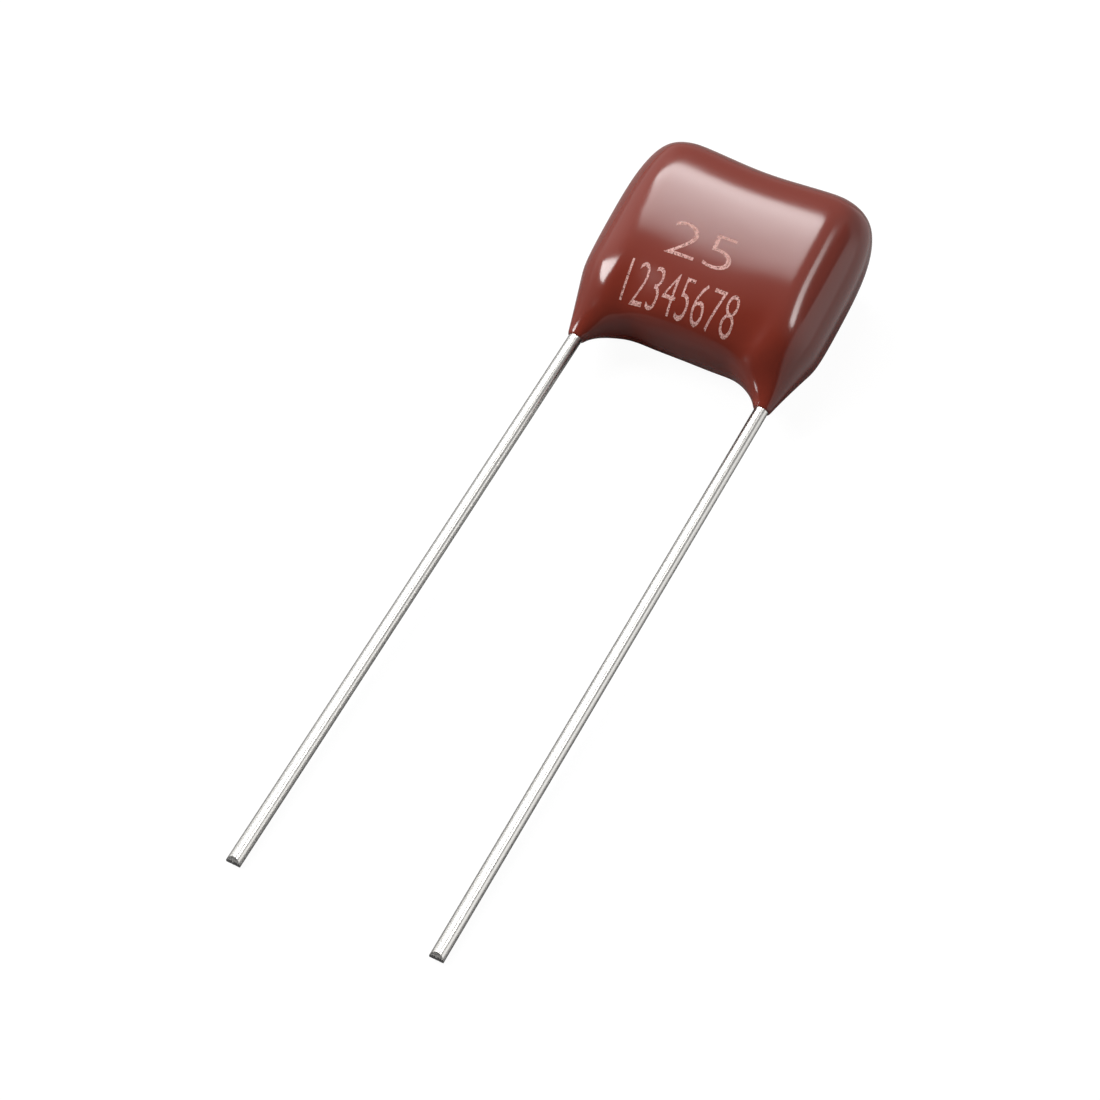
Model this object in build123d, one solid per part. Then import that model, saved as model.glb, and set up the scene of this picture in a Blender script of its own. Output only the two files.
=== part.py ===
from build123d import *
from math import cos, pi, sin, tan, radians
import os

# Dipped, radial-lead polypropylene film capacitor, lying on its back.
#
# Millimetres and degrees. The exposed wires run along -Y in the plane z = 0 and +Z is up.
# The origin lies midway between the wires, where the coating ends on them: the seating plane.
# The body is drawn flat in that plane and then raised by the bend of the wires.

# leads
lead_pitch = 10.0
lead_diameter = 0.7
lead_length = 32.3
lead_bend_angle = 9.4
lead_bend_radius = 2.0
tip_bevel_angle = 35.0
tip_flat = 0.22

# flattened end of each lead, welded to the sprayed contact
weld_pad_thickness = 0.5
weld_pad_width = 0.9
weld_pad_length = 7.0
weld_pad_lead_in = 0.2
weld_pad_taper = 0.8

# wound film element
winding_thickness = 4.3
winding_height = 9.1
mandrel_slit = 0.1

# sprayed zinc contact on each end of the winding
end_spray_thickness = 0.4

# epoxy coating, measured as the thickness of resin on each side of what it covers
coat_on_faces = 0.6
coat_on_edges = 0.65
coat_on_ends = 1.18
coat_on_lead = 0.08

# form that the resin takes as it drains and hardens
arch_rise = 1.38
corner_drop = 1.16
corner_fullness = 0.38
leg_reach = 2.47
leg_top_half_width = 3.2
leg_inset = 0.57

# how far the outer line of a leg leans outwards for each millimetre upwards
leg_lean = 0.28

# how square the corners stay: 2 is an ellipse, larger is squarer
upper_corner_squareness = 4.7
lower_corner_squareness = 2.45
end_squareness = 4.0
section_squareness = 3.25
arch_squareness = 5.8

# how a leg widens from the wire upwards: 1 is a cone, larger stays slim for longer
leg_width_power = 1.47
leg_thickness_power = 1.43

# where sections are taken, as shares of the body's half width and of the leg's reach
trunk_shares = (-0.985, -0.94, -0.86, -0.74, -0.56, -0.3, 0, 0.3, 0.56, 0.74, 0.86, 0.94, 0.985)
leg_shares = (0, 0.12, 0.3, 0.6, 1)
points_per_section = 16

# sizes that follow
lead_radius = lead_diameter / 2
lead_x = lead_pitch / 2
spray_face_x = lead_x - weld_pad_thickness / 2
winding_half_length = spray_face_x - end_spray_thickness
body_half_width = lead_x + weld_pad_thickness / 2 + coat_on_ends
body_half_thickness = winding_thickness / 2 + coat_on_faces
winding_bottom = arch_rise + coat_on_edges
winding_middle = winding_bottom + winding_height / 2
body_top_middle = winding_bottom + winding_height + coat_on_edges
body_middle = (body_top_middle + arch_rise) / 2
body_place = Rot(lead_bend_angle, 0, 0)


def closed_curve(points):
    """A smooth closed face through points that lie in one plane, spaced alike in every section."""
    steps = list(range(len(points) + 1))
    return make_face(Edge.make_spline(points, periodic=True, parameters=steps))


def signed_power(value, power):
    return abs(value) ** power if value >= 0 else -abs(value) ** power


def winding_section(x):
    """Face across the flattened roll: two flats joined by half rounds."""
    across = Plane(origin=(x, winding_middle, 0), x_dir=(0, 1, 0), z_dir=(1, 0, 0))
    return across * SlotOverall(winding_height, winding_thickness)


# Film winding: two webs of metallised film wound on a mandrel and pressed flat.
# All its turns are one solid, with the slit that the mandrel leaves. The resin can't reach the slit.
def make_roll():
    return extrude(winding_section(-winding_half_length), amount=2 * winding_half_length)


def make_winding():
    slit_plane = Plane(origin=(-winding_half_length, winding_middle, 0), x_dir=(0, 1, 0), z_dir=(1, 0, 0))
    slit_height = winding_height - winding_thickness
    slit = extrude(slit_plane * SlotCenterToCenter(slit_height, mandrel_slit), amount=2 * winding_half_length)
    return make_roll() - slit


# End spray: zinc sprayed on the ends of the roll, where it joins the edges of all the turns.
def make_end_spray(side):
    layer = extrude(winding_section(winding_half_length), amount=end_spray_thickness)
    return layer if side > 0 else mirror(layer, Plane.YZ)


# Lead: tinned copper-clad steel wire. It is cut by pinching, bent where it leaves the coating,
# and pressed flat at the top, where it is welded to the sprayed contact.
def make_lead(side):
    bend_tangent = lead_bend_radius * tan(radians(lead_bend_angle / 2))
    pad_bottom = winding_bottom - weld_pad_lead_in
    taper_bottom = pad_bottom - weld_pad_taper

    wire_end = Plane(origin=(lead_x, -lead_length, 0), x_dir=(1, 0, 0), z_dir=(0, 1, 0))
    wire = extrude(wire_end * Circle(lead_radius), amount=lead_length - bend_tangent)

    # the bend is so short and slight that one straight piece stands for its arc
    bend_start = Plane(origin=(lead_x, -bend_tangent, 0), x_dir=(1, 0, 0), z_dir=(0, 1, 0))
    stem_start = Plane(origin=(lead_x, bend_tangent, 0), x_dir=(1, 0, 0), z_dir=(0, 1, 0))
    wire += loft([bend_start * Circle(lead_radius), body_place * (stem_start * Circle(lead_radius))], ruled=True)

    stem = extrude(stem_start * Circle(lead_radius), amount=taper_bottom - bend_tangent)
    pad_plane = Plane(origin=(lead_x, pad_bottom, 0), x_dir=(1, 0, 0), z_dir=(0, 1, 0))
    pad_face = pad_plane * Rectangle(weld_pad_thickness, weld_pad_width)
    taper_plane = Plane(origin=(lead_x, taper_bottom, 0), x_dir=(1, 0, 0), z_dir=(0, 1, 0))
    taper = loft([taper_plane * Circle(lead_radius), pad_face])
    pad = extrude(pad_face, amount=weld_pad_length)
    wire += body_place * (stem + taper + pad)

    # the cutters leave a blunt wedge across the wire
    for face_side in (-1, 1):
        bevel = Location((lead_x, -lead_length, face_side * tip_flat / 2))
        bevel *= Location((0, 0, 0), (-face_side * tip_bevel_angle, 0, 0))
        cutter = Box(
            lead_diameter * 2,
            lead_diameter * 2,
            lead_diameter * 2,
            align=(Align.CENTER, Align.MAX, Align.MIN if face_side > 0 else Align.MAX),
        )
        wire -= bevel * cutter
    return wire if side > 0 else mirror(wire, Plane.YZ)


def rounding(share, squareness):
    """How much of its full size the body keeps at a share of its half width."""
    return (1 - abs(share) ** squareness) ** (1 / squareness)


def trunk_section(share):
    """Face across the coated body at a share of its half width, from -1 to 1."""
    x = share * body_half_width
    reach = abs(x) / lead_x
    full_top = body_top_middle + corner_fullness * sin(pi / 2 * min(1, reach)) ** 2
    full_bottom = arch_rise - corner_drop * reach**arch_squareness
    top = body_middle + (full_top - body_middle) * rounding(share, upper_corner_squareness)
    bottom = body_middle + (full_bottom - body_middle) * rounding(share, lower_corner_squareness)
    middle = (top + bottom) / 2
    half_height = (top - bottom) / 2
    half_thickness = body_half_thickness * rounding(share, end_squareness)
    power = 2 / section_squareness
    points = []
    for step in range(points_per_section):
        angle = 2 * pi * (step + 0.5) / points_per_section
        y = middle + half_height * signed_power(cos(angle), power)
        z = half_thickness * signed_power(sin(angle), power)
        points.append((x, y, z))
    return closed_curve(points)


def leg_section(share):
    """Face across one coating leg at a share of its reach above the seating plane: an ellipse."""
    height = share * leg_reach
    end_radius = lead_radius + coat_on_lead
    top_half_thickness = body_half_thickness - leg_inset
    half_width = end_radius + (leg_top_half_width - end_radius) * share**leg_width_power
    half_thickness = end_radius + (top_half_thickness - end_radius) * share**leg_thickness_power
    middle_x = lead_x + end_radius + leg_lean * height - half_width
    points = []
    for step in range(points_per_section):
        angle = 2 * pi * step / points_per_section
        points.append((middle_x + half_width * cos(angle), height, half_thickness * sin(angle)))
    return closed_curve(points)


# Epoxy coating: the wound element is dipped leads-up in liquid resin and cured.
# The resin draws in between two full upper corners, arches between the leads and
# runs down each of them as a short leg. It is cast around what it holds.
def make_coating(wires, sprays):
    coating = loft([trunk_section(share) for share in trunk_shares])
    leg = loft([leg_section(share) for share in leg_shares])
    coating += leg
    coating += mirror(leg, Plane.YZ)
    for piece in (make_roll(), *sprays):
        coating -= piece
    coating = body_place * coating
    for wire in wires:
        coating -= wire
    return coating


sprays = [make_end_spray(side) for side in (-1, 1)]
wires = [make_lead(side) for side in (-1, 1)]
nodes = {
    "epoxy_coating": make_coating(wires, sprays),
    "film_winding": body_place * make_winding(),
    "end_spray_left": body_place * sprays[0],
    "end_spray_right": body_place * sprays[1],
    "lead_left": wires[0],
    "lead_right": wires[1],
}

os.makedirs("parts", exist_ok=True)
for name, shape in nodes.items():
    export_step(shape, f"parts/{name}.step")
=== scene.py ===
import math

import bmesh
import bpy
from mathutils import Matrix, Vector
from mathutils.bvhtree import BVHTree


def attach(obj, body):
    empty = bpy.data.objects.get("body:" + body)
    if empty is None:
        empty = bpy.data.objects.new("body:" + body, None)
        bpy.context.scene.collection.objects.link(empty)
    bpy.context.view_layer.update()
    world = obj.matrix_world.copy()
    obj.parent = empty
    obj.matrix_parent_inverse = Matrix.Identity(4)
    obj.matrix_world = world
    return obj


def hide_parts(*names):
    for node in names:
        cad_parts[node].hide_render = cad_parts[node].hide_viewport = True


# A dipped polypropylene film capacitor, lying on its back with its two wires towards the viewer.
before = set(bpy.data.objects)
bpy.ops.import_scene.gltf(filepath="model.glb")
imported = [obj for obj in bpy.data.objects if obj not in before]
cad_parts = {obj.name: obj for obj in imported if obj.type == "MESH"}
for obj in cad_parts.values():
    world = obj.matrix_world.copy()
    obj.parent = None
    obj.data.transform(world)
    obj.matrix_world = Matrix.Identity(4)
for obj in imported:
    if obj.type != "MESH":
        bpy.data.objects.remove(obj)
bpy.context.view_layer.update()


# Camera: it looks down on the part from the front and a little from the right, at the photograph's
# angle. The photograph is 1100 pixels wide, and its focal length in pixels was fitted to the part's
# outline. Metres throughout; a size that is easier to read in millimetres is written with mm.
mm = 0.001
photo_width = 1100
focal_pixels = 2720.2
sensor_width = 36.0
camera_right = Vector((0.8871, 0.4610, -0.0208))
camera_down = Vector((0.3706, -0.7385, -0.5632))
camera_ahead = Vector((-0.2750, 0.4920, -0.8260))
origin_seen_at = Vector((5.67, -8.499, 131.677)) * mm

camera_data = bpy.data.cameras.new("camera")
camera_data.sensor_width = sensor_width
camera_data.lens = sensor_width * focal_pixels / photo_width
camera_data.clip_start = 1 * mm
camera_data.clip_end = 10.0
camera = bpy.data.objects.new("camera", camera_data)
bpy.context.scene.collection.objects.link(camera)
camera_turn = Matrix((camera_right, -camera_down, -camera_ahead)).transposed()
camera_place = -(
    camera_right * origin_seen_at.x + camera_down * origin_seen_at.y + camera_ahead * origin_seen_at.z
)
camera.matrix_world = Matrix.Translation(camera_place) @ camera_turn.to_4x4()
bpy.context.scene.camera = camera


# Epoxy coating: the wound element is dipped, wires up, in liquid flame-retardant epoxy, drained and
# cured. The resin is one glossy skin. It draws in along the top, arches between the wires and runs
# down each wire as a short leg, where it thins out to the bare tin.
lead_x = 5.0 * mm
lead_radius = 0.35 * mm
bend_angle = math.radians(9.4)
body_place = Matrix.Rotation(bend_angle, 4, "X")

body_half_width = 6.4 * mm
body_half_thickness = 2.758 * mm
body_top = 11.785 * mm
body_middle = 6.87 * mm
arch_rise = 1.4 * mm
corner_drop = 0.895 * mm
corner_drop_power = 3
corner_fullness = 0.432 * mm
shoulder_start = 4.6 * mm
shoulder_drop = 0.3
end_squareness = 5.02
section_squareness = 3.64
# where the cube is cut, as shares of its half size, along the width, the height and the thickness
columns = (-0.86, -0.73, -0.6, -0.3, 0, 0.3, 0.6, 0.73, 0.86)
rows = (-0.5, 0, 0.45, 0.8)
layers = (-0.5, 0, 0.5)
leg_start = 0.6
# a leg: its height, its size at both ends, how far its middle moves inwards and how its top slants
leg_reach = 2.276 * mm
leg_end_radius = 0.45 * mm
leg_top_half_width = 1.844 * mm
leg_top_half_thickness = 2.139 * mm
leg_inward = 0.58 * mm
leg_slant = 0.867 * mm
# how each of these grows with the height: 1 is evenly, larger is later
leg_inward_power = 1.42
leg_width_power = 1.264
leg_slant_power = 1.5
leg_thickness_power = 1.438
leg_shares = (1, 0.6, 0.3, 0.09, 0)
leg_least_slant_share = 0.02
skin_levels = 4

resin_colour = "742B1F"
ripple_size = 1.6 * mm
ripple_depth = 0.02 * mm


def leg_ring(share):
    """Height, middle, half width, slant and half thickness of a leg's ring at a share of its height."""
    wider = leg_top_half_width - leg_end_radius
    thicker = leg_top_half_thickness - leg_end_radius
    return (
        leg_reach * share,
        lead_x - leg_inward * share**leg_inward_power,
        leg_end_radius + wider * share**leg_width_power,
        leg_slant * max(share, leg_least_slant_share) ** leg_slant_power,
        leg_end_radius + thicker * share**leg_thickness_power,
    )


def linear(code):
    """The linear colour of an sRGB hex value."""
    channels = [int(code[i : i + 2], 16) / 255 for i in (0, 2, 4)]
    return [c / 12.92 if c <= 0.04045 else ((c + 0.055) / 1.055) ** 2.4 for c in channels] + [1.0]


def add_node(tree, kind, settings=None, values=None, links=None):
    """Adds one shader node with its settings, socket values and incoming links."""
    node = tree.nodes.new(kind)
    for name, value in (settings or {}).items():
        setattr(node, name, value)
    for name, value in (values or {}).items():
        node.inputs[name].default_value = value
    for name, source in (links or {}).items():
        tree.links.new(source, node.inputs[name])
    return node


def new_material(name):
    """An empty node material, its tree and its Principled shader."""
    material = bpy.data.materials.new(name)
    material.use_nodes = True
    tree = material.node_tree
    return material, tree, tree.nodes["Principled BSDF"]


def new_piece(name, shape, material):
    """Turns a bmesh into an object at the origin that wears one material."""
    mesh = bpy.data.meshes.new(name)
    shape.to_mesh(mesh)
    shape.free()
    piece = bpy.data.objects.new(name, mesh)
    bpy.context.scene.collection.objects.link(piece)
    mesh.materials.append(material)
    for polygon in mesh.polygons:
        polygon.use_smooth = True
    return piece


# Dipped and cured epoxy is as glossy as glass, and its skin waves a little where it has drained.
epoxy, tree, shader = new_material("epoxy_dipped_glossy_red_brown")
place = add_node(tree, "ShaderNodeTexCoord").outputs["Object"]
ripple = add_node(
    tree,
    "ShaderNodeTexNoise",
    None,
    {"Scale": 1 / ripple_size, "Detail": 2.0, "Roughness": 0.4},
    {"Vector": place},
).outputs["Fac"]
skin = add_node(
    tree, "ShaderNodeBump", None, {"Strength": 0.25, "Distance": ripple_depth}, {"Height": ripple}
).outputs["Normal"]
shader.inputs["Base Color"].default_value = linear(resin_colour)
shader.inputs["Roughness"].default_value = 0.14
shader.inputs["IOR"].default_value = 1.55
tree.links.new(skin, shader.inputs["Normal"])

# a cube is cut into a coarse net, and its underside is marked where each leg will grow
body = bmesh.new()
bmesh.ops.create_cube(body, size=2)
x_axis, y_axis, z_axis = Vector((1, 0, 0)), Vector((0, 1, 0)), Vector((0, 0, 1))
for direction, cuts in ((x_axis, columns), (y_axis, rows), (z_axis, layers)):
    for cut in cuts:
        everything = body.verts[:] + body.edges[:] + body.faces[:]
        bmesh.ops.bisect_plane(body, geom=everything, plane_co=direction * cut, plane_no=direction)
leg_middle = (1 + leg_start) / 2
feet = {}
for side in (-1, 1):
    underside = [face for face in body.faces if face.normal.y < -0.9]
    foot = [face for face in underside if face.calc_center_median().x * side > leg_start]
    spots = {}
    for face in foot:
        for vert in face.verts:
            across = (vert.co.x * side - leg_middle) / (1 - leg_middle)
            spots[vert] = across, vert.co.z
    feet[side] = foot, spots

# the cube is rounded off to the resin's full form, drawn in along the top and arched below
for vert in body.verts:
    across, up, through = (abs(part) for part in vert.co)
    section = (up**section_squareness + through**section_squareness) ** (1 / section_squareness)
    vert.co /= (across**end_squareness + section**end_squareness) ** (1 / end_squareness)
    outward = min(1, abs(vert.co.x) * body_half_width / lead_x)
    top = body_top + corner_fullness * math.sin(math.pi / 2 * outward) ** 2
    bottom = arch_rise - corner_drop * outward**corner_drop_power
    reach = top - body_middle if vert.co.y > 0 else body_middle - bottom
    vert.co.x *= body_half_width
    vert.co.y = body_middle + vert.co.y * reach
    vert.co.z *= body_half_thickness
    # the resin is thin over the winding's front edges and slopes down from there to both ends
    if vert.co.z > 0:
        beyond = max(0, abs(vert.co.x) - shoulder_start) / (body_half_width - shoulder_start)
        vert.co.z *= 1 - shoulder_drop * beyond

# each leg is drawn out of the outer part of the underside, ring by ring, down to the bare wire
for side, (foot, spots) in feet.items():
    ring = list(spots)
    for vert, (across, through) in spots.items():
        round_off = max(abs(across), abs(through)) / (math.hypot(across, through) or 1)
        vert.co = Vector((side * across, across, through)) * round_off
    size, centre = Vector((1, 1, 1)), Vector((0, 0, 0))
    for share in leg_shares:
        height, middle, half_width, slant, half_thickness = leg_ring(share)
        if share < 1:
            grown = bmesh.ops.extrude_face_region(body, geom=foot)["geom"]
            bmesh.ops.delete(body, geom=foot, context="FACES")
            foot = [item for item in grown if isinstance(item, bmesh.types.BMFace)]
            ring = list({vert for face in foot for vert in face.verts})
        new_size = Vector((half_width, slant, half_thickness))
        new_centre = Vector((side * middle, height, 0))
        bmesh.ops.translate(body, vec=-centre, verts=ring)
        bmesh.ops.scale(body, vec=[new / old for new, old in zip(new_size, size)], verts=ring)
        bmesh.ops.translate(body, vec=new_centre, verts=ring)
        size, centre = new_size, new_centre
bmesh.ops.transform(body, matrix=body_place, verts=body.verts)
bmesh.ops.recalc_face_normals(body, faces=body.faces)

coating = new_piece("dipped_coating", body, epoxy)
smoothing = coating.modifiers.new("surface_tension", "SUBSURF")
smoothing.levels = smoothing.render_levels = skin_levels
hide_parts("epoxy_coating")
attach(coating, "root")


# Marking: plain figures that a laser has burnt into the skin, which leaves a thin, grainy line.
# They stand in two rows on the face, the lower row where the face already turns down to the arch.
figure_rows = (
    # figures, how much thinner their strokes are, left end, right end, foot and height on the face
    ("12345678", -0.014, -3.45 * mm, 2.4 * mm, 1.95 * mm, 2.05 * mm),
    ("25", -0.017, -2.35 * mm, 1.0 * mm, 4.8 * mm, 1.9 * mm),
)
figure_lift = 0.004 * mm
figure_slant = math.radians(4)
figure_step = 0.15 * mm
above_face = 9 * mm
burnt_grain = 0.07 * mm
burnt_gap = 0.11 * mm

# Where the laser burns epoxy it foams into a matt, pale pink grain, with bare resin in its gaps.
burnt, tree, shader = new_material("epoxy_laser_burnt_pale")
place = add_node(tree, "ShaderNodeTexCoord").outputs["Object"]
grain = add_node(
    tree,
    "ShaderNodeTexNoise",
    None,
    {"Scale": 1 / burnt_grain, "Detail": 3.0, "Roughness": 0.7},
    {"Vector": place},
).outputs["Fac"]
tint = add_node(tree, "ShaderNodeValToRGB", None, None, {"Fac": grain})
tint.color_ramp.elements[0].position = 0.36
tint.color_ramp.elements[0].color = linear("8E544A")
tint.color_ramp.elements[1].position = 0.62
tint.color_ramp.elements[1].color = linear("DDB4AC")
gaps = add_node(
    tree,
    "ShaderNodeTexNoise",
    None,
    {"Scale": 1 / burnt_gap, "Detail": 2.0, "Roughness": 0.6},
    {"Vector": place},
).outputs["Fac"]
cover = add_node(
    tree,
    "ShaderNodeMapRange",
    None,
    {"From Min": 0.36, "From Max": 0.44, "To Min": 0.25, "To Max": 1.0},
    {"Value": gaps},
).outputs["Result"]
shader.inputs["Roughness"].default_value = 0.6
shader.inputs["Specular IOR Level"].default_value = 0.2
tree.links.new(tint.outputs["Color"], shader.inputs["Base Color"])
tree.links.new(cover, shader.inputs["Alpha"])

skin_now = coating.evaluated_get(bpy.context.evaluated_depsgraph_get()).to_mesh()
skin_spots = [vert.co.copy() for vert in skin_now.vertices]
skin_faces = [polygon.vertices[:] for polygon in skin_now.polygons]
skin_tree = BVHTree.FromPolygons(skin_spots, skin_faces)
out_of_face = body_place.to_3x3() @ z_axis

figures = bmesh.new()
for text, thinning, left, right, foot, height in figure_rows:
    lettering = bpy.data.curves.new("figures", "FONT")
    lettering.body = text
    lettering.offset = thinning
    lettering.resolution_u = 4
    flat = bpy.data.meshes.new_from_object(bpy.data.objects.new("figures", lettering))
    row = bmesh.new()
    row.from_mesh(flat)
    low = [min(vert.co[axis] for vert in row.verts) for axis in (0, 1)]
    high = [max(vert.co[axis] for vert in row.verts) for axis in (0, 1)]
    for vert in row.verts:
        up = (vert.co.y - low[1]) / (high[1] - low[1]) * height
        along = (vert.co.x - low[0]) / (high[0] - low[0]) * (right - left)
        vert.co = Vector((left + along - math.tan(figure_slant) * up, foot + up, 0))
    # the strokes are cut small enough to follow the rounded skin, and then laid down on it
    for direction, start, length in ((x_axis, left, right - left), (y_axis, foot, height)):
        for cut in range(1, int(length / figure_step)):
            everything = row.verts[:] + row.edges[:] + row.faces[:]
            spot = direction * (start + cut * figure_step)
            bmesh.ops.bisect_plane(row, geom=everything, plane_co=spot, plane_no=direction)
    for vert in row.verts:
        over = body_place @ (vert.co + z_axis * above_face)
        spot, normal, _, _ = skin_tree.ray_cast(over, -out_of_face)
        vert.co = spot + normal * figure_lift
    row.to_mesh(flat)
    row.free()
    figures.from_mesh(flat)
marking = new_piece("plain_figures", figures, burnt)
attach(marking, "root")


# Leads: two tinned copper-clad steel wires, drawn to a bright finish and cut off by pinching.
# They come out of the coating with a slight bend and run on straight and parallel. Inside, their
# ends are pressed flat where they are welded to the sprayed contacts.
lead_length = 32.3 * mm
bend_radius = 2.0 * mm
bend_reach = bend_radius * math.tan(bend_angle / 2)
tip_flat = 0.22 * mm
tip_bevel = math.radians(35)
pad_half_width = 0.25 * mm
pad_half_depth = 0.45 * mm
pad_squareness = 0.85
taper_start, pad_start, pad_end = 1.03 * mm, 1.83 * mm, 8.83 * mm
points_round = 48
# the tip's rings, as shares of the wire's radius, and then each ring's distance and flatness
tip_shares = (0.02, 0.3, 0.55, 0.75, 0.93, 1)
wire_places = [(-lead_length + step * 0.4 * mm, 0) for step in range(1, 81)]
wire_places += [(step * 0.04 * mm, 0) for step in range(-4, 5)]
wire_places += [(taper_start, 0), ((taper_start + pad_start) / 2, 0.5), (pad_start, 1), (pad_end, 1)]
# below this height the cut end shows the sheared core; above it the cutters smeared tin over it
shear_top = 0.14 * mm
crease = math.radians(30)

draw_line = 0.04 * mm
draw_line_length = 1.5 * mm
tin_grain = 0.12 * mm
tear_size = 0.08 * mm

# Drawn and tinned wire is bright and pale, with fine lines along it and a slight grain of the tin.
# The real lines are finer still, and are drawn as coarse as they need to be to show.
tin, tree, shader = new_material("tinned_drawn_wire")
place = add_node(tree, "ShaderNodeTexCoord").outputs["Object"]
along_wire = add_node(
    tree,
    "ShaderNodeMapping",
    None,
    {"Scale": (1 / draw_line, 1 / draw_line_length, 1 / draw_line)},
    {"Vector": place},
).outputs["Vector"]
draw_lines = add_node(
    tree,
    "ShaderNodeTexNoise",
    None,
    {"Scale": 1.0, "Detail": 3.0, "Roughness": 0.6},
    {"Vector": along_wire},
).outputs["Fac"]
grain = add_node(
    tree,
    "ShaderNodeTexNoise",
    None,
    {"Scale": 1 / tin_grain, "Detail": 3.0, "Roughness": 0.65},
    {"Vector": place},
).outputs["Fac"]
relief = add_node(
    tree, "ShaderNodeMath", {"operation": "ADD"}, None, {0: draw_lines, 1: grain}
).outputs["Value"]
lines = add_node(
    tree, "ShaderNodeBump", None, {"Strength": 0.5, "Distance": 0.003 * mm}, {"Height": relief}
).outputs["Normal"]
shader.inputs["Base Color"].default_value = linear("E2E0DC")
shader.inputs["Metallic"].default_value = 1.0
shader.inputs["Roughness"].default_value = 0.24
tree.links.new(lines, shader.inputs["Normal"])

# Sheared copper-clad steel is dull, dark and torn where the cutters went through it.
cut_metal, tree, shader = new_material("copper_clad_steel_sheared")
place = add_node(tree, "ShaderNodeTexCoord").outputs["Object"]
tears = add_node(
    tree,
    "ShaderNodeTexNoise",
    None,
    {"Scale": 1 / tear_size, "Detail": 3.0, "Roughness": 0.6},
    {"Vector": place},
).outputs["Fac"]
torn = add_node(
    tree, "ShaderNodeBump", None, {"Strength": 0.8, "Distance": 0.02 * mm}, {"Height": tears}
).outputs["Normal"]
shader.inputs["Base Color"].default_value = linear("6E6C6C")
shader.inputs["Metallic"].default_value = 1.0
shader.inputs["Roughness"].default_value = 0.32
tree.links.new(torn, shader.inputs["Normal"])


def on_tip(share, across, through):
    """A point of the cut end, at a share of the radius: a blunt wedge that the cutters leave."""
    across *= share * lead_radius
    through *= share * lead_radius
    back = max(0, abs(through) - tip_flat / 2) * math.tan(tip_bevel)
    return Vector((across, back - lead_length, through))


def signed_power(value, power):
    return math.copysign(abs(value) ** power, value)


def on_wire(distance, flatness, across, through):
    """A point round the wire at a distance past the bend: flatness 0 is round and 1 is the pad."""
    turned = min(1, max(0, (distance + bend_reach) / (2 * bend_reach))) * bend_angle
    if distance <= -bend_reach:
        middle = y_axis * distance
    elif distance >= bend_reach:
        middle = body_place @ (y_axis * distance)
    else:
        round_bend = Vector((0, math.sin(turned), 1 - math.cos(turned)))
        middle = round_bend * bend_radius - y_axis * bend_reach
    half_width = lead_radius + (pad_half_width - lead_radius) * flatness
    half_depth = lead_radius + (pad_half_depth - lead_radius) * flatness
    power = 1 - pad_squareness * flatness
    upwards = Vector((0, -math.sin(turned), math.cos(turned)))
    middle = middle + x_axis * half_width * signed_power(across, power)
    return middle + upwards * half_depth * signed_power(through, power)


for side, node in ((-1, "lead_left"), (1, "lead_right")):
    # a round of the wire is drawn out into a tube, with one unit from each ring to the next
    wire = bmesh.new()
    bmesh.ops.create_circle(wire, cap_ends=True, segments=points_round, radius=1)
    turn = Matrix.Rotation(math.pi / 2, 3, "X") @ Matrix.Rotation(math.pi / points_round, 3, "Z")
    bmesh.ops.rotate(wire, cent=(0, 0, 0), matrix=turn, verts=wire.verts)
    end = wire.faces[:]
    for number in range(1, len(tip_shares) + len(wire_places)):
        grown = bmesh.ops.extrude_face_region(wire, geom=end)["geom"]
        if number > 1:
            bmesh.ops.delete(wire, geom=end, context="FACES_ONLY")
        end = [item for item in grown if isinstance(item, bmesh.types.BMFace)]
        bmesh.ops.translate(wire, vec=y_axis, verts=[vert for face in end for vert in face.verts])
    first_ring = {face: min(round(vert.co.y) for vert in face.verts) for face in wire.faces}
    # each ring then goes to its place on the cut end, the run, the bend or the pad
    for vert in wire.verts:
        number = round(vert.co.y)
        if number < len(tip_shares):
            spot = on_tip(tip_shares[number], vert.co.x, vert.co.z)
        else:
            spot = on_wire(*wire_places[number - len(tip_shares)], vert.co.x, vert.co.z)
        vert.co = spot + x_axis * side * lead_x
    for face, number in first_ring.items():
        on_cut = number < len(tip_shares) - 1
        face.material_index = int(on_cut and face.calc_center_median().z < shear_top)
    bmesh.ops.recalc_face_normals(wire, faces=wire.faces)
    for edge in wire.edges:
        edge.smooth = edge.calc_face_angle(0) < crease
    lead = new_piece("tinned_wire_left" if side < 0 else "tinned_wire_right", wire, tin)
    lead.data.materials.append(cut_metal)
    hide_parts(node)
    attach(lead, "root")


# Film winding and end sprays: two webs of clear polypropylene with an aluminium vapour layer, wound
# and pressed flat, and grey zinc that is sprayed on both ends to join all the turns. They are sealed
# inside the coating and don't show.
film_band = 0.0377 * mm
zinc_splat = 0.15 * mm

# Stacked film edges look satin grey with fine bands. The real turns are about a quarter as thick as
# these bands, which are as coarse as they need to be to show. At a scale of 1 a wave texture's bands
# lie pi / 10 apart.
film, tree, shader = new_material("polypropylene_film_metallised")
place = add_node(tree, "ShaderNodeTexCoord").outputs["Object"]
turns = add_node(
    tree,
    "ShaderNodeTexWave",
    {"bands_direction": "Z"},
    {"Scale": math.pi / 10 / film_band, "Distortion": 0.6},
    {"Vector": place},
).outputs["Fac"]
tint = add_node(tree, "ShaderNodeValToRGB", None, None, {"Fac": turns})
tint.color_ramp.elements[0].color = linear("A8A5A0")
tint.color_ramp.elements[1].color = linear("C9C6C0")
shader.inputs["Roughness"].default_value = 0.35
tree.links.new(tint.outputs["Color"], shader.inputs["Base Color"])

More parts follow.
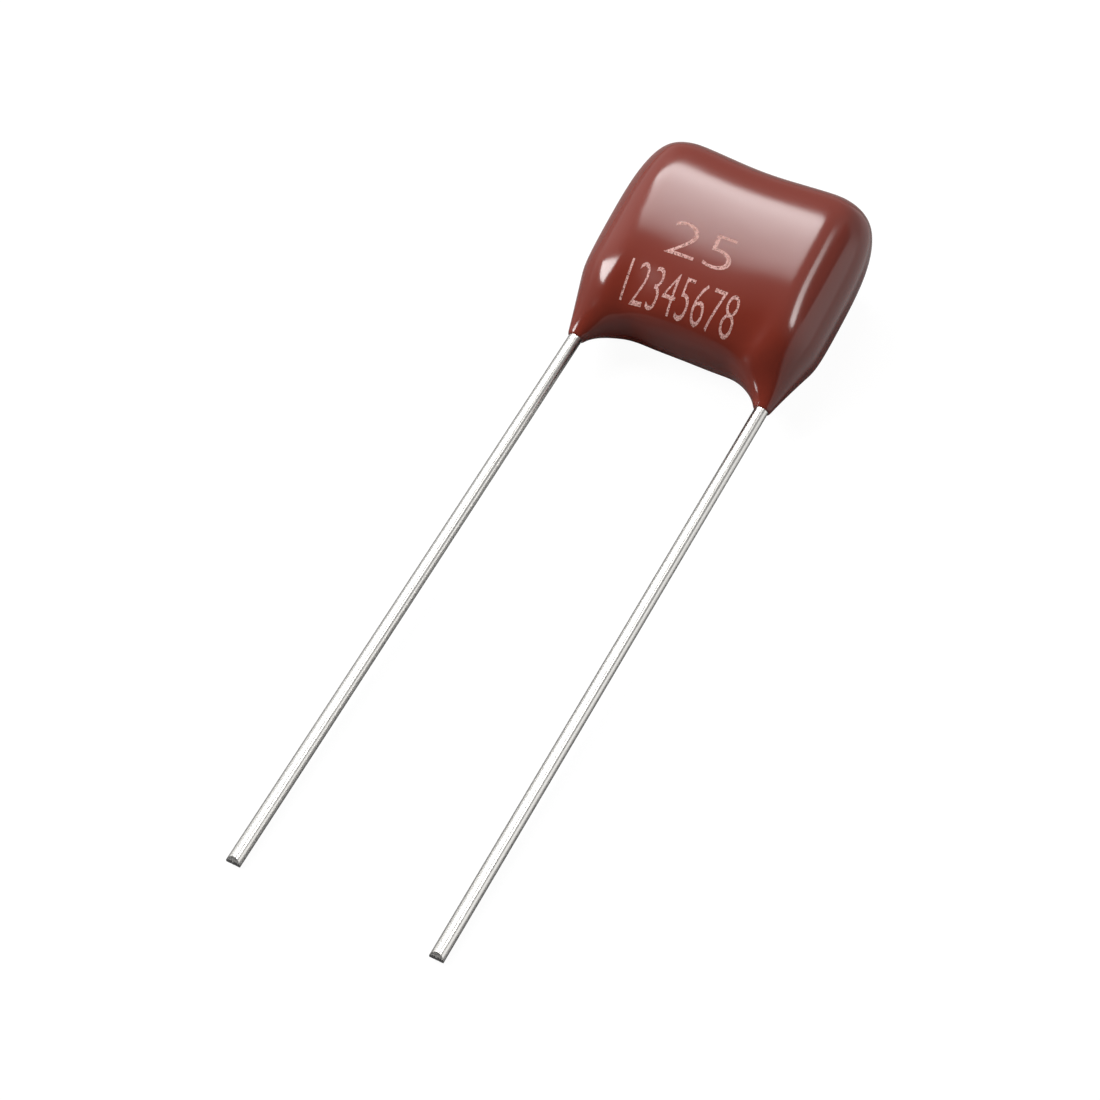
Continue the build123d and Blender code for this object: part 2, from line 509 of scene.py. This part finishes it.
# Flame-sprayed zinc is matt grey and rough, built up of small splats. The real ones are finer, and
# are drawn as coarse as they need to be to show.
zinc, tree, shader = new_material("zinc_flame_sprayed")
place = add_node(tree, "ShaderNodeTexCoord").outputs["Object"]
splats = add_node(
    tree,
    "ShaderNodeTexNoise",
    None,
    {"Scale": 1 / zinc_splat, "Detail": 4.0, "Roughness": 0.7},
    {"Vector": place},
).outputs["Fac"]
rough = add_node(
    tree, "ShaderNodeBump", None, {"Strength": 0.7, "Distance": 0.04 * mm}, {"Height": splats}
).outputs["Normal"]
shader.inputs["Base Color"].default_value = linear("8E9092")
shader.inputs["Metallic"].default_value = 1.0
shader.inputs["Roughness"].default_value = 0.6
tree.links.new(rough, shader.inputs["Normal"])

for name, material in (("film_winding", film), ("end_spray_left", zinc), ("end_spray_right", zinc)):
    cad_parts[name].data.materials.clear()
    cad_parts[name].data.materials.append(material)


# Floor: white paper that runs out of the picture on all sides. The part rests on the ends of its
# two wires and on the back of its lower edge, so the paper touches both and slopes a little.
floor_reach = 1.5
tip_back = max(0, lead_radius - tip_flat / 2) * math.tan(tip_bevel)
tip_low = Vector((0, tip_back - lead_length, -lead_radius))
slope = min((spot.z - tip_low.z) / (spot.y - tip_low.y) for spot in skin_spots)
even_share = 0.7
even_strength = 1.36
# how far to the right the paper starts to glow in reflections, a painted reflection of lit paper, where it
# is fully so, and how much
painted_reflection_from_x, painted_reflection_full_x = 7.5 * mm, 9 * mm
painted_reflection_share = 0.6

# Plain paper is matt. To the camera it is an even white with a smaller share of the paper's own
# shading, so that the part's shadow stays faint. To the right of the part it also glows in reflections
# only, a painted reflection of lit paper on the coating's right end.
paper, tree, shader = new_material("white_paper_floor")
light_path = add_node(tree, "ShaderNodeLightPath").outputs
place = add_node(tree, "ShaderNodeTexCoord").outputs["Object"]
spot = add_node(tree, "ShaderNodeSeparateXYZ", None, None, {0: place}).outputs
# painted reflection: to the right of the part the paper glows in reflected rays only, which puts a pale
# band on the coating's right end
painted_reflection_beside = add_node(
    tree,
    "ShaderNodeMapRange",
    None,
    {"From Min": painted_reflection_from_x, "From Max": painted_reflection_full_x, "To Max": painted_reflection_share},
    {"Value": spot["X"]},
).outputs["Result"]
painted_reflection_mask = add_node(
    tree,
    "ShaderNodeMath",
    {"operation": "MULTIPLY"},
    None,
    {0: light_path["Is Glossy Ray"], 1: painted_reflection_beside},
).outputs["Value"]
white_and_painted_reflection = add_node(
    tree,
    "ShaderNodeMath",
    {"operation": "MAXIMUM"},
    None,
    {0: light_path["Is Camera Ray"], 1: painted_reflection_mask},
).outputs["Value"]
evenness = add_node(
    tree, "ShaderNodeMath", {"operation": "MULTIPLY"}, {1: even_share}, {0: white_and_painted_reflection}
).outputs["Value"]
glow = add_node(tree, "ShaderNodeEmission", None, {"Color": (1, 1, 1, 1), "Strength": even_strength})
blend = add_node(
    tree,
    "ShaderNodeMixShader",
    None,
    None,
    {0: evenness, 1: shader.outputs["BSDF"], 2: glow.outputs["Emission"]},
).outputs["Shader"]
shader.inputs["Base Color"].default_value = linear("8A8A8A")
shader.inputs["Roughness"].default_value = 0.9
shader.inputs["Specular IOR Level"].default_value = 0.1
tree.links.new(blend, tree.nodes["Material Output"].inputs["Surface"])

ground = bmesh.new()
corners = []
for x, y in ((-1, -1), (1, -1), (1, 1), (-1, 1)):
    level = tip_low.z + slope * (y * floor_reach - tip_low.y)
    corners.append(ground.verts.new((x * floor_reach, y * floor_reach, level)))
ground.faces.new(corners)
floor = new_piece("floor", ground, paper)


# Light: a large soft box above and behind on the left, two small lamps in front on the left, a
# narrow one on the right and a grey card beside it, in a pale room. Each is a card that glows, and
# stands in the directions that the coating's highlights mirror.
lit_place = Vector((0, 6 * mm, 2 * mm))
lamp_distance = 0.4
cards = (
    # name, strength at the near edge, strength at the far edge, directions of the corners
    (
        "soft_box",
        0.5,
        11.0,
        ((-0.38, 0.20, 0.90), (-0.07, 0.24, 0.97), (-0.06, 0.54, 0.84), (-0.76, 0.46, 0.46)),
    ),
    (
        "front_lamp",
        14.0,
        14.0,
        (
            (-0.45, -0.08, 0.89),
            (-0.50, -0.20, 0.84),
            (-0.66, -0.44, 0.61),
            (-0.80, -0.30, 0.52),
            (-0.90, 0.06, 0.43),
        ),
    ),
    (
        "low_lamp",
        9.0,
        9.0,
        ((-0.58, -0.75, 0.32), (-0.58, -0.80, 0.12), (-0.68, -0.72, 0.12), (-0.68, -0.66, 0.32)),
    ),
    (
        "right_lamp",
        11.0,
        1.5,
        ((0.42, 0.0, 0.91), (0.60, 0.0, 0.80), (0.42, 0.52, 0.74), (0.29, 0.52, 0.80)),
    ),
    (
        "grey_card",
        0.25,
        0.25,
        ((0.56, 0.20, 0.80), (0.80, 0.20, 0.56), (0.76, 0.60, 0.25), (0.49, 0.60, 0.63)),
    ),
)
for name, near, far, directions in cards:
    glass, tree, shader = new_material(name + "_glass")
    spots = [lit_place + Vector(direction).normalized() * lamp_distance for direction in directions]
    place = add_node(tree, "ShaderNodeTexCoord").outputs["Object"]
    spot = add_node(tree, "ShaderNodeSeparateXYZ", None, None, {0: place}).outputs
    span = {"From Min": spots[0].y, "From Max": spots[3].y, "To Min": near, "To Max": far}
    strength = add_node(tree, "ShaderNodeMapRange", None, span, {"Value": spot["Y"]}).outputs["Result"]
    glow = add_node(tree, "ShaderNodeEmission", None, {"Color": (1, 1, 1, 1)}, {"Strength": strength})
    tree.links.new(glow.outputs["Emission"], tree.nodes["Material Output"].inputs["Surface"])
    plate = bmesh.new()
    plate.faces.new([plate.verts.new(spot) for spot in spots])
    new_piece(name, plate, glass)

# The room is brighter behind the part and at both sides, and dim in front. It is dimmer for
# scattered light than in reflections, which keeps the coating deep in colour. To the camera it is
# white.
side_walls = (
    # where along X the wall starts and is full, and how much it adds
    (0.72, 0.82, 0.6),
    (-0.5, -0.85, 0.35),
)
scattered_share = 0.35

world = bpy.data.worlds.new("pale_room")
bpy.context.scene.world = world
world.use_nodes = True
tree = world.node_tree
background = tree.nodes["Background"]
background.inputs["Color"].default_value = (1, 1, 1, 1)
light_path = add_node(tree, "ShaderNodeLightPath").outputs
ray = add_node(tree, "ShaderNodeTexCoord").outputs["Generated"]
way = add_node(tree, "ShaderNodeSeparateXYZ", None, None, {0: ray}).outputs
room = add_node(
    tree,
    "ShaderNodeMapRange",
    None,
    {"From Min": -0.3, "From Max": 0.3, "To Min": 0.06, "To Max": 0.55},
    {"Value": way["Y"]},
).outputs["Result"]
for start, full, added in side_walls:
    wall = add_node(
        tree,
        "ShaderNodeMapRange",
        None,
        {"From Min": start, "From Max": full, "To Min": 0.0, "To Max": added},
        {"Value": way["X"]},
    ).outputs["Result"]
    room = add_node(tree, "ShaderNodeMath", {"operation": "ADD"}, None, {0: room, 1: wall}).outputs["Value"]
dimmed = add_node(
    tree,
    "ShaderNodeMapRange",
    None,
    {"From Min": 0.0, "From Max": 1.0, "To Min": 1.0, "To Max": scattered_share},
    {"Value": light_path["Is Diffuse Ray"]},
).outputs["Result"]
room = add_node(
    tree, "ShaderNodeMath", {"operation": "MULTIPLY"}, None, {0: room, 1: dimmed}
).outputs["Value"]
shown = add_node(
    tree,
    "ShaderNodeMath",
    {"operation": "MAXIMUM"},
    None,
    {0: room, 1: light_path["Is Camera Ray"]},
).outputs["Value"]
tree.links.new(shown, background.inputs["Strength"])
bpy.context.scene.view_settings.view_transform = "Standard"
